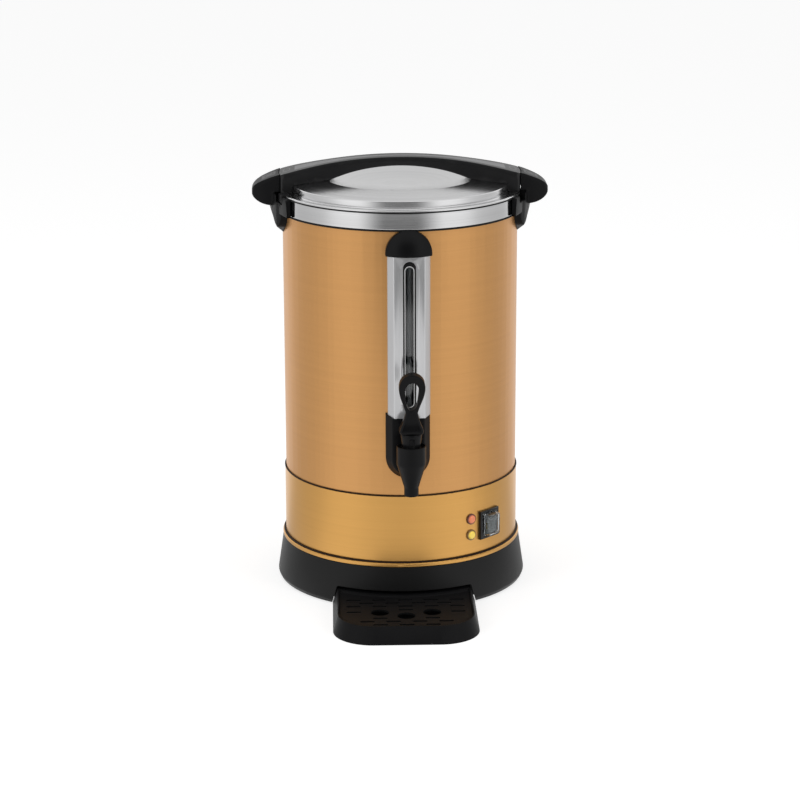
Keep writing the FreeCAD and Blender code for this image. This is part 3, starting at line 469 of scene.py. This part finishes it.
metalFinishes = {
    "goldShell": {
        "dark": (0.58, 0.29, 0.098), "light": (0.72, 0.375, 0.135), "Metallic": 0.75, "Anisotropic": 0.4,
        "rough": (0.30, 0.40), "stretch": (4.0, 5.0, 2600.0), "around": True, "streaks": 0.5,
        "smears": 0.03, "bump": 0.12},
    "goldBand": {
        "dark": (0.60, 0.315, 0.082), "light": (0.75, 0.405, 0.115), "Metallic": 0.75, "Anisotropic": 0.4,
        "rough": (0.24, 0.34), "stretch": (4.0, 5.0, 2600.0), "around": True, "streaks": 0.5,
        "smears": 0.03, "bump": 0.1},
    "collarSteel": {
        "dark": (0.52, 0.52, 0.525), "light": (0.72, 0.72, 0.725), "Metallic": 1.0, "Anisotropic": 0.3,
        "rough": (0.05, 0.11), "stretch": (900.0, 6.0, 2400.0), "around": True, "streaks": 0.6,
        "smears": 0.02, "bump": 0.1},
    "lidSteel": {
        "dark": (0.56, 0.56, 0.565), "light": (0.77, 0.77, 0.775), "Metallic": 1.0, "Anisotropic": 0.4,
        "rough": (0.12, 0.20), "stretch": (2200.0, 6.0, 1800.0), "around": True, "streaks": 0.7,
        "smears": 0.02, "bump": 0.12},
    "gaugeSteel": {
        "dark": (0.58, 0.58, 0.59), "light": (0.72, 0.72, 0.73), "Metallic": 0.55, "Anisotropic": 0.3,
        "rough": (0.10, 0.18), "stretch": (2600.0, 2600.0, 8.0), "around": False, "streaks": 0.5,
        "smears": 0.03, "bump": 0.08},
    # Nearly white ring round the gauge window: painted highlight of the lens's bevelled edge
    "lineSteel": {
        "dark": (0.80, 0.80, 0.80), "light": (0.92, 0.92, 0.92), "Metallic": 0.3,
        "rough": (0.3, 0.4), "stretch": (900.0, 900.0, 20.0), "around": False, "streaks": 0.4,
        "smears": 0.02, "bump": 0.04},
    "tankSteel": {
        "dark": (0.42, 0.42, 0.42), "light": (0.60, 0.60, 0.60), "Metallic": 1.0,
        "rough": (0.28, 0.42), "stretch": (900.0, 4.0, 1400.0), "around": True, "streaks": 0.6,
        "smears": 0.06, "bump": 0.1},
    "heaterAlloy": {
        "dark": (0.36, 0.36, 0.37), "light": (0.52, 0.52, 0.53), "Metallic": 0.9,
        "rough": (0.45, 0.6), "stretch": (300.0, 300.0, 300.0), "around": False, "streaks": 0.9,
        "smears": 0.05, "bump": 0.25},
    "screwSteel": {
        "dark": (0.45, 0.45, 0.44), "light": (0.62, 0.62, 0.60), "Metallic": 1.0,
        "rough": (0.25, 0.4), "stretch": (900.0, 900.0, 900.0), "around": False, "streaks": 0.5,
        "smears": 0.05, "bump": 0.08},
    "pinBrass": {
        "dark": (0.50, 0.33, 0.11), "light": (0.66, 0.46, 0.18), "Metallic": 1.0,
        "rough": (0.22, 0.34), "stretch": (900.0, 60.0, 900.0), "around": False, "streaks": 0.5,
        "smears": 0.04, "bump": 0.05},
}


def brushedMetal(name, settings):
    material, tree, shader = startMaterial(name, settings)
    make = radialVector if settings["around"] else objectVector
    lines = placeGroup(tree, brushLines, make(tree, settings["stretch"]), Streaks=settings["streaks"])
    tone = lines.outputs["Tone"]
    tree.links.new(blendColors(tree, tone, settings["dark"], settings["light"]), shader.inputs["Base Color"])
    smears = placeGroup(tree, handling, objectVector(tree), Amount=settings["smears"])
    rough = addMath(tree, "ADD", mapValue(tree, tone, *settings["rough"]), smears.outputs["Mask"])
    tree.links.new(rough, shader.inputs["Roughness"])
    addBump(tree, shader, lines.outputs["Lines"], settings["bump"], reliefDepth)
    return material


# Satin strip let into the top of the bar and the handles, lighter and metallic on the up-facing faces only,
# so that it is also a painted sheen of the top, and the oval beside or on it. Places are metres from the
# drum's axis; half is the strip's half width there, and wider what it gains.

barInlaySheen = {
    "from": 0.0, "half": 0.0029, "wider": 0.0078, "end": 0.107, "strip": (0.18, 0.18, 0.183), "metal": 0.85,
    "mark": (0.09, 0.09, 0.09), "ovalAt": 0.1152, "ovalLong": 0.0034, "ovalWide": 0.009,
}
handleInlaySheen = {
    "from": 0.1265, "half": 0.0068, "wider": 0.003, "end": 0.1405, "strip": (0.09, 0.09, 0.092), "metal": 0.0,
    "mark": (0.02, 0.02, 0.02), "ovalAt": 0.1332, "ovalLong": 0.0042, "ovalWide": 0.0062,
}
inlaySheenEdge = {"bow": 1.5, "soft": 0.0002, "ovalLine": (0.08, 0.2), "relief": 6.0}


def addInlaySheen(tree, settings, edge):
    # Masks of the strip, with its painted sheen of the up-facing faces, and of the oval's line, 0 to 1
    x, y = splitVector(tree, axisVector(tree))[:2]
    along = addMath(tree, "ABSOLUTE", x)
    across = addMath(tree, "ABSOLUTE", y)
    share = addMath(tree, "POWER", addMath(tree, "DIVIDE", along, settings["end"]), edge["bow"])
    half = addMath(tree, "ADD", addMath(tree, "MULTIPLY", share, settings["wider"]), settings["half"])
    past = addMath(tree, "SUBTRACT", across, half)
    beyond = addMath(tree, "SUBTRACT", along, settings["end"])
    before = addMath(tree, "SUBTRACT", settings["from"], along)
    outside = addMath(tree, "MAXIMUM", past, addMath(tree, "MAXIMUM", beyond, before))
    faces = tree.nodes.new("ShaderNodeAttribute")
    faces.attribute_name = "topSide"
    inside = mapValue(tree, outside, 1.0, 0.0, -edge["soft"], edge["soft"])
    strip = addMath(tree, "MULTIPLY", inside, faces.outputs["Fac"])
    fromOval = addMath(tree, "SUBTRACT", along, settings["ovalAt"])
    ovalX = addMath(tree, "DIVIDE", fromOval, settings["ovalLong"])
    ovalY = addMath(tree, "DIVIDE", across, settings["ovalWide"])
    squares = addMath(
        tree, "ADD", addMath(tree, "MULTIPLY", ovalX, ovalX), addMath(tree, "MULTIPLY", ovalY, ovalY))
    rim = addMath(tree, "ABSOLUTE", addMath(tree, "SUBTRACT", addMath(tree, "SQRT", squares), 1.0))
    line = mapValue(tree, rim, 1.0, 0.0, *edge["ovalLine"])
    return strip, addMath(tree, "MULTIPLY", line, faces.outputs["Fac"])


plasticFinishes = {
    "blackHandle": {
        "dark": (0.006, 0.006, 0.0065), "light": (0.010, 0.010, 0.0105), "rough": (0.34, 0.46),
        "grain": 1500.0, "smears": 0.05, "bump": 0.16, "Specular IOR Level": 0.08, "inlay": handleInlaySheen},
    "barPlastic": {
        "dark": (0.008, 0.008, 0.0085), "light": (0.013, 0.013, 0.0135), "rough": (0.30, 0.42),
        "grain": 1500.0, "smears": 0.06, "bump": 0.16, "Specular IOR Level": 0.3, "inlay": barInlaySheen},
    "blackBase": {
        "dark": (0.005, 0.005, 0.005), "light": (0.008, 0.008, 0.008), "rough": (0.34, 0.46),
        "grain": 1300.0, "smears": 0.06, "bump": 0.2, "Specular IOR Level": 0.2},
    "blackTap": {
        "dark": (0.004, 0.004, 0.0045), "light": (0.007, 0.007, 0.0075), "rough": (0.26, 0.36),
        "grain": 1800.0, "smears": 0.05, "bump": 0.1, "Specular IOR Level": 0.12},
    "blackTray": {
        "dark": (0.005, 0.005, 0.0055), "light": (0.008, 0.008, 0.0085), "rough": (0.44, 0.56),
        "grain": 1300.0, "smears": 0.06, "bump": 0.2, "Specular IOR Level": 0.1},
    "blackSwitch": {
        "dark": (0.004, 0.004, 0.0045), "light": (0.007, 0.007, 0.0075), "rough": (0.16, 0.26),
        "grain": 2400.0, "smears": 0.04, "bump": 0.05, "Specular IOR Level": 0.35},
    "rockerGrey": {
        "dark": (0.085, 0.095, 0.095), "light": (0.12, 0.135, 0.135), "rough": (0.22, 0.34),
        "grain": 2400.0, "smears": 0.04, "bump": 0.05, "Specular IOR Level": 0.35},
    "terminalIvory": {
        "dark": (0.50, 0.46, 0.38), "light": (0.60, 0.56, 0.47), "rough": (0.35, 0.5),
        "grain": 1500.0, "smears": 0.05, "bump": 0.1},
    "sealRubber": {
        "dark": (0.30, 0.29, 0.27), "light": (0.40, 0.385, 0.36), "rough": (0.55, 0.7),
        "grain": 900.0, "smears": 0.08, "bump": 0.15},
    # Black of the rings of painted shade laid in the gaps below and above the collar and under the lid's
    # flange
    "sealBlack": {
        "dark": (0.008, 0.008, 0.008), "light": (0.014, 0.014, 0.014), "rough": (0.6, 0.75),
        "grain": 900.0, "smears": 0.05, "bump": 0.15, "Specular IOR Level": 0.2},
    # Dark brown of the rings of painted shade laid in the seams of the gold drum
    "seamBrown": {
        "dark": (0.010, 0.004, 0.0015), "light": (0.018, 0.007, 0.003), "rough": (0.5, 0.65),
        "grain": 900.0, "smears": 0.05, "bump": 0.15, "Specular IOR Level": 0.2},
    "footRubber": {
        "dark": (0.012, 0.012, 0.012), "light": (0.022, 0.022, 0.022), "rough": (0.7, 0.85),
        "grain": 1000.0, "smears": 0.1, "bump": 0.3},
}


def mouldedPlastic(name, settings):
    material, tree, shader = startMaterial(name, settings)
    vector = objectVector(tree)
    grain = placeGroup(tree, mouldGrain, vector, Scale=settings["grain"])
    smears = placeGroup(tree, handling, vector, Amount=settings["smears"])
    polish = grain.outputs["Polish"]
    color = blendColors(tree, polish, settings["dark"], settings["light"])
    rough = addMath(tree, "ADD", mapValue(tree, polish, *settings["rough"]), smears.outputs["Mask"])
    height = grain.outputs["Grain"]
    if "inlay" in settings:
        inlay = settings["inlay"]
        strip, oval = addInlaySheen(tree, inlay, inlaySheenEdge)
        # The strip's lighter colour is partly a painted sheen of the top faces
        color = blendColors(tree, strip, color, inlay["strip"])
        color = blendColors(tree, oval, color, inlay["mark"])
        raised = addMath(tree, "MULTIPLY", addMath(tree, "ADD", strip, oval), inlaySheenEdge["relief"])
        height = addMath(tree, "ADD", height, raised)
        tree.links.new(addMath(tree, "MULTIPLY", strip, inlay["metal"]), shader.inputs["Metallic"])
    tree.links.new(color, shader.inputs["Base Color"])
    tree.links.new(rough, shader.inputs["Roughness"])
    addBump(tree, shader, height, settings["bump"], reliefDepth)
    return material


# Clear parts; wave is the noise of their slightly uneven surface

clearFinishes = {
    "clearCap": {
        "Color": (0.86, 0.89, 0.90), "Roughness": 0.12, "IOR": 1.42, "Transmission Weight": 1.0,
        "wave": (60.0, 2.0, 0.5), "bump": 0.05},
    "gaugeGlass": {
        "Color": (0.93, 0.95, 0.95), "Roughness": 0.03, "IOR": 1.46, "Transmission Weight": 1.0,
        "Specular IOR Level": 0.12, "wave": (25.0, 2.0, 0.5), "bump": 0.02},
    "tubeGlass": {
        "Color": (0.13, 0.133, 0.137), "Roughness": 0.3, "IOR": 1.46, "Transmission Weight": 0.35,
        "Specular IOR Level": 0.15, "wave": (25.0, 2.0, 0.5), "bump": 0.02},
}


def clearMaterial(name, settings):
    material, tree, shader = startMaterial(name, settings)
    wave = addNoise(tree, objectVector(tree), *settings["wave"])
    addBump(tree, shader, wave, settings["bump"], waveDepth)
    return material


# Pilot lamps: bright middle and a dark rim, by the distance from the lamp's own axis

lampFinishes = {
    "lampRed": {
        "node": "lamp_lens_red", "bright": (0.95, 0.27, 0.11), "ring": (0.10, 0.012, 0.004), "glow": 0.25},
    "lampYellow": {
        "node": "lamp_lens_yellow", "bright": (1.0, 0.72, 0.10), "ring": (0.20, 0.09, 0.01), "glow": 0.35},
}
lens = {
    "Roughness": 0.18, "IOR": 1.5, "Coat Weight": 0.5,
    "rim": (0.0037, 0.0047),        # metres from the axis over which the rim darkens
    "prisms": (900.0, 1.0, 0.3), "prismTone": (0.75, 1.0),
}


def lampMaterial(name, settings):
    material, tree, shader = startMaterial(name, lens)
    node = settings["node"]
    low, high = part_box(node)
    centre = (low + high) / 2
    place = tree.nodes.new("ShaderNodeMapping")
    place.vector_type = "TEXTURE"
    place.inputs["Location"].default_value = centre
    place.inputs["Rotation"].default_value = (0, 0, atan2(centre.y - drumAxis.y, centre.x - drumAxis.x))
    tree.links.new(objectVector(tree), place.inputs["Vector"])
    across = addStretch(tree, place.outputs["Vector"], (0.0, 1.0, 1.0))
    middle = mapValue(tree, lengthOf(tree, across), 1.0, 0.0, *lens["rim"])
    prisms = addNoise(tree, objectVector(tree), *lens["prisms"])
    mask = addMath(tree, "MULTIPLY", middle, mapValue(tree, prisms, *lens["prismTone"]))
    for label, rest in (("Base Color", settings["ring"]), ("Emission Color", (0, 0, 0))):
        tree.links.new(blendColors(tree, mask, rest, settings["bright"]), shader.inputs[label])
    shader.inputs["Emission Strength"].default_value = settings["glow"]
    return material


materials = {}
for makeMaterial, finishes in ((brushedMetal, metalFinishes), (mouldedPlastic, plasticFinishes),
                               (clearMaterial, clearFinishes), (lampMaterial, lampFinishes)):
    for name, settings in finishes.items():
        materials[name] = makeMaterial(name, settings)
print("materials made:", len(materials))


# Pieces

record = frame["record"]
bodyOf = {node: body for body, members in record["behaviour"]["bodies"].items() for node in members}
slotOf = {part["node"]: part["material_slot"] for part in record["subparts"]}
sharpAngle = 32.0           # degrees past which an edge is shaded sharp
cornerJoin = 1e-6           # metres within which corners of the CAD triangles are one
seamJoin = 1e-7             # and within which a turned piece closes on itself
turnSteps = 256             # faces round a turned piece


def camel(node):
    first, *rest = node.split("_")
    return first + "".join(word.capitalize() for word in rest)


def addPiece(name, bm, look, body):
    mesh = bpy.data.meshes.new(name)
    bm.to_mesh(mesh)
    bm.free()
    mesh.shade_smooth()
    mesh.set_sharp_from_angle(angle=radians(sharpAngle))
    mesh.materials.append(materials[look])
    piece = bpy.data.objects.new(name, mesh)
    scene.collection.objects.link(piece)
    normals = piece.modifiers.new("evenNormals", "WEIGHTED_NORMAL")
    normals.keep_sharp = True
    normals.weight = 100
    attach(piece, body)
    return piece


def smoothCopy(node, look):
    # The CAD solid with its loose triangles joined and its curved faces shaded smooth
    bm = bmesh.new()
    bm.from_mesh(frame["nodes"][node].data)
    bmesh.ops.remove_doubles(bm, verts=bm.verts, dist=cornerJoin)
    piece = addPiece(camel(node), bm, look, bodyOf[node])
    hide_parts(node)
    return piece


def rounded(points, steps=5):
    # Corners (across, up) or (across, up, radius) of a profile in millimetres, as points along it
    path = []
    for number, point in enumerate(points):
        here = Vector(point[:2])
        if len(point) == 2:
            path.append(here)
            continue
        before = (Vector(points[number - 1][:2]) - here).normalized()
        after = (Vector(points[(number + 1) % len(points)][:2]) - here).normalized()
        half = before.angle(after) / 2
        centre = here + (before + after).normalized() * (point[2] / sin(half))
        start = here + before * (point[2] / tan(half)) - centre
        end = here + after * (point[2] / tan(half)) - centre
        for step in range(steps + 1):
            path.append(centre + start.slerp(end, step / steps))
    return path


def spunMesh(points):
    # A closed profile of (radius, height) turned round the drum's axis
    bm = bmesh.new()
    verts = [bm.verts.new((x * mm, 0, z * mm)) for x, z in points]
    edges = [bm.edges.new((verts[number - 1], verts[number])) for number in range(len(verts))]
    bmesh.ops.spin(
        bm, geom=verts + edges, cent=(0, 0, 0), axis=(0, 0, 1), angle=2 * pi, steps=turnSteps, use_merge=True)
    bmesh.ops.remove_doubles(bm, verts=bm.verts, dist=seamJoin)
    bmesh.ops.recalc_face_normals(bm, faces=bm.faces)
    bmesh.ops.translate(bm, verts=bm.verts, vec=drumAxis)
    return bm


def spunPiece(node, look, points, name=None):
    # Takes the place of the node, or is added to it under a name of its own
    piece = addPiece(name or camel(node), spunMesh(rounded(points)), look, bodyOf[node])
    if name is None:
        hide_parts(node)
    return piece


# Lid and collar, turned from their profiles

lid = {
    "dishRadius": 75.5, "dishRim": 421.6, "dishDepth": 7.0, "dishSteps": 18, "dishRound": 1.0,
    "shoulder": (111.0, 417.5), "shoulderRound": 1.3, "innerRound": 0.6, "wall": 111.4, "wallRound": 0.7,
    "flange": 121.8, "flangeFoot": 408.6, "flangeTop": 409.6, "flangeRound": 0.35, "sheet": 0.9,
    "groove": 119.3, "grooveShape": ((0.0, 0.0), (0.3, -0.25), (0.8, -0.25), (1.1, 0.0)),
}


def dishPoints(settings, drop):
    # From the middle of the finger dish out to its rim
    radius, depth, steps = settings["dishRadius"], settings["dishDepth"], settings["dishSteps"]
    ball = (radius ** 2 + depth ** 2) / (2 * depth)
    rim = asin(radius / ball)
    floor = settings["dishRim"] - depth - drop
    angles = [rim * step / steps for step in range(steps)]
    return [(ball * sin(angle), floor + ball * (1 - cos(angle))) for angle in angles]


def makeLid(settings):
    wall, flange, sheet = settings["wall"], settings["flange"], settings["sheet"]
    foot, top, edge = settings["flangeFoot"], settings["flangeTop"], settings["flangeRound"]
    radius, rim, soft = settings["dishRadius"], settings["dishRim"], settings["dishRound"]
    across, up = settings["shoulder"]
    groove = [(settings["groove"] + out, top + lift) for out, lift in settings["grooveShape"]]
    outer = [
        (radius, rim, soft), (across, up, settings["shoulderRound"]), (wall, top, settings["wallRound"]),
        *groove, (flange, top, edge), (flange, foot, edge), (wall - sheet, foot)]
    inner = [(across - sheet, up - sheet, settings["innerRound"]), (radius, rim - sheet, soft)]
    under = dishPoints(settings, sheet)[::-1]
    return spunPiece("lid_shell", "lidSteel", dishPoints(settings, 0.0) + outer + inner + under)


collar = [
    (120.3, 391.0, 0.3), (122.3, 391.0, 1.0), (122.5, 408.2, 1.4), (117.0, 408.2), (117.0, 407.4),
    (121.3, 407.4, 0.5), (121.3, 392.2), (120.3, 392.2)]

pieces = {"lid_shell": makeLid(lid), "rim_collar": spunPiece("rim_collar", "collarSteel", collar)}


# Every other node keeps its form and gets the finish of its slot, or its own

slotLooks = {
    "base_plastic": "blackBase", "foot_rubber": "footRubber", "screw_steel": "screwSteel",
    "gold_band": "goldBand", "gold_shell": "goldShell", "bright_steel": "collarSteel",
    "tank_steel": "tankSteel", "heater_alloy": "heaterAlloy", "terminal_plastic": "terminalIvory",
    "black_plastic": "blackHandle", "pin_brass": "pinBrass", "switch_plastic": "blackSwitch",
    "clear_plastic": "clearCap", "lamp_red": "lampRed", "lamp_yellow": "lampYellow",
    "gauge_steel": "gaugeSteel", "gauge_glass": "gaugeGlass", "seal_rubber": "sealRubber",
    "tap_plastic": "blackTap", "tray_plastic": "blackTray",
}
nodeLooks = {
    "lid_bar": "barPlastic", "gauge_cap": "blackTap", "lamp_bodies": "blackSwitch",
    "sight_tube": "tubeGlass", "switch_rocker": "rockerGrey",
}

for node, slot in slotOf.items():
    if node not in pieces:
        pieces[node] = smoothCopy(node, nodeLooks.get(node, slotLooks[slot]))


# Faces that look up carry the inlays and their painted sheen; a level is the least upward share of their
# normal

topLevels = {"lid_bar": 0.93, "side_handle_right": 0.6, "side_handle_left": 0.6}


def markTop(piece, least):
    top = piece.data.attributes.new("topSide", "FLOAT", "FACE")
    for face in piece.data.polygons:
        top.data[face.index].value = 1.0 if face.normal.z > least else 0.0


for node, least in topLevels.items():
    markTop(pieces[node], least)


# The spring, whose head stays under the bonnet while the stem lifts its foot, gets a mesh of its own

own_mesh(pieces["valve_spring"])


# Painted shade: dark rings laid round the drum in the gaps and seams where shadow falls; the node that each
# rides with, its finish and its profile

shadeRings = {
    # Painted shade of the gap under the collar's foot
    "collarGasket": ("rim_collar", "sealBlack", [
        (120.05, 390.0), (121.9, 390.0, 0.3), (121.9, 390.95), (120.05, 390.95)]),
    # Painted shade of the gap between the collar's top and the lid
    "collarBead": ("rim_collar", "sealBlack", [
        (120.9, 407.9), (120.9, 408.24), (121.8, 408.22, 0.1), (122.38, 407.75, 0.2), (122.53, 407.35),
        (121.5, 407.35)]),
    # Painted shade under the lid's flange
    "flangeGasket": ("lid_shell", "sealBlack", [
        (117.5, 408.24), (121.15, 408.24), (121.76, 408.09), (121.76, 408.62), (117.5, 408.62)]),
    # Painted shade in the seam where the band meets the shell
    "bandSeam": ("outer_shell", "seamBrown", [
        (119.95, 118.32), (120.8, 118.32), (120.8, 118.95, 0.25), (119.95, 119.3)]),
    # Painted shade in the groove above the band's bead
    "beadSeam": ("lower_band", "seamBrown", [
        (121.0, 48.2), (122.6, 48.2), (122.6, 48.85, 0.25), (121.0, 49.7)]),
}

for name, (node, look, profile) in shadeRings.items():
    spunPiece(node, look, profile, name)


# Level gauge: a bright ring round its window, painted highlight of the lens's edge, and a black card behind
# the tube, painted shade of the channel

gauge = {
    "turn": 2.4,            # degrees round from the tray's line
    "lineHalf": 4.8, "lineWidth": 0.62, "lineFoot": 213.8, "lineHead": 356.8, "lineBack": -130.4,
    "lineDeep": 0.42, "lineSegments": 64,
    "cardHalf": 9.0, "cardFoot": 209.0, "cardHead": 362.5, "cardBack": -120.5, "cardDeep": 0.5,
}


def turnVerts(bm, degrees, axis):
    bmesh.ops.rotate(bm, verts=bm.verts, cent=(0, 0, 0), matrix=Matrix.Rotation(radians(degrees), 3, axis))


def frontPiece(name, bm, look, degrees):
    # Turned round the drum's axis to the gauge's line
    turnVerts(bm, degrees, "Z")
    bmesh.ops.translate(bm, verts=bm.verts, vec=drumAxis)
    return addPiece(name, bm, look, "urn")


def makeWindowHighlight(settings):
    # A circle drawn out to a racetrack, its rim kept and given thickness: a bright ring of painted highlight
    # on the edge of the window's lens
    bm = bmesh.new()
    half, segments = settings["lineHalf"] * mm, settings["lineSegments"]
    bmesh.ops.create_circle(bm, cap_ends=True, segments=segments, radius=half)
    turnVerts(bm, 90, "X")
    turnVerts(bm, 180 / segments, "Y")
    middle = (settings["lineFoot"] + settings["lineHead"]) / 2 * mm
    reach = (settings["lineHead"] - settings["lineFoot"]) / 2 * mm - half
    for vert in bm.verts:
        vert.co.z += reach if vert.co.z > 0 else -reach
    rim = bmesh.ops.inset_region(
        bm, faces=bm.faces[:], thickness=settings["lineWidth"] * mm, use_even_offset=True, use_boundary=True)
    inner = [face for face in bm.faces if face not in rim["faces"]]
    bmesh.ops.delete(bm, geom=inner, context="FACES")
    sides = bmesh.ops.extrude_face_region(bm, geom=bm.faces[:])
    verts = [part for part in sides["geom"] if isinstance(part, bmesh.types.BMVert)]
    bmesh.ops.translate(bm, verts=verts, vec=(0, -settings["lineDeep"] * mm, 0))
    bmesh.ops.translate(bm, verts=bm.verts, vec=(0, settings["lineBack"] * mm, middle))
    bmesh.ops.recalc_face_normals(bm, faces=bm.faces)
    return frontPiece("windowLine", bm, "lineSteel", settings["turn"])


def makeShadeCard(settings):
    # Black sheet behind the sight tube: painted shade where the channel behind the window lies in shadow
    bm = bmesh.new()
    bmesh.ops.create_cube(bm, size=1.0)
    size = (2 * settings["cardHalf"], settings["cardDeep"], settings["cardHead"] - settings["cardFoot"])
    bmesh.ops.scale(bm, verts=bm.verts, vec=[length * mm for length in size])
    middle = (settings["cardFoot"] + settings["cardHead"]) / 2
    spot = (0, (settings["cardBack"] - settings["cardDeep"] / 2) * mm, middle * mm)
    bmesh.ops.translate(bm, verts=bm.verts, vec=spot)
    return frontPiece("gaugeCard", bm, "blackTray", settings["turn"])


makeWindowHighlight(gauge)
makeShadeCard(gauge)
print("solids dressed:", len(pieces))
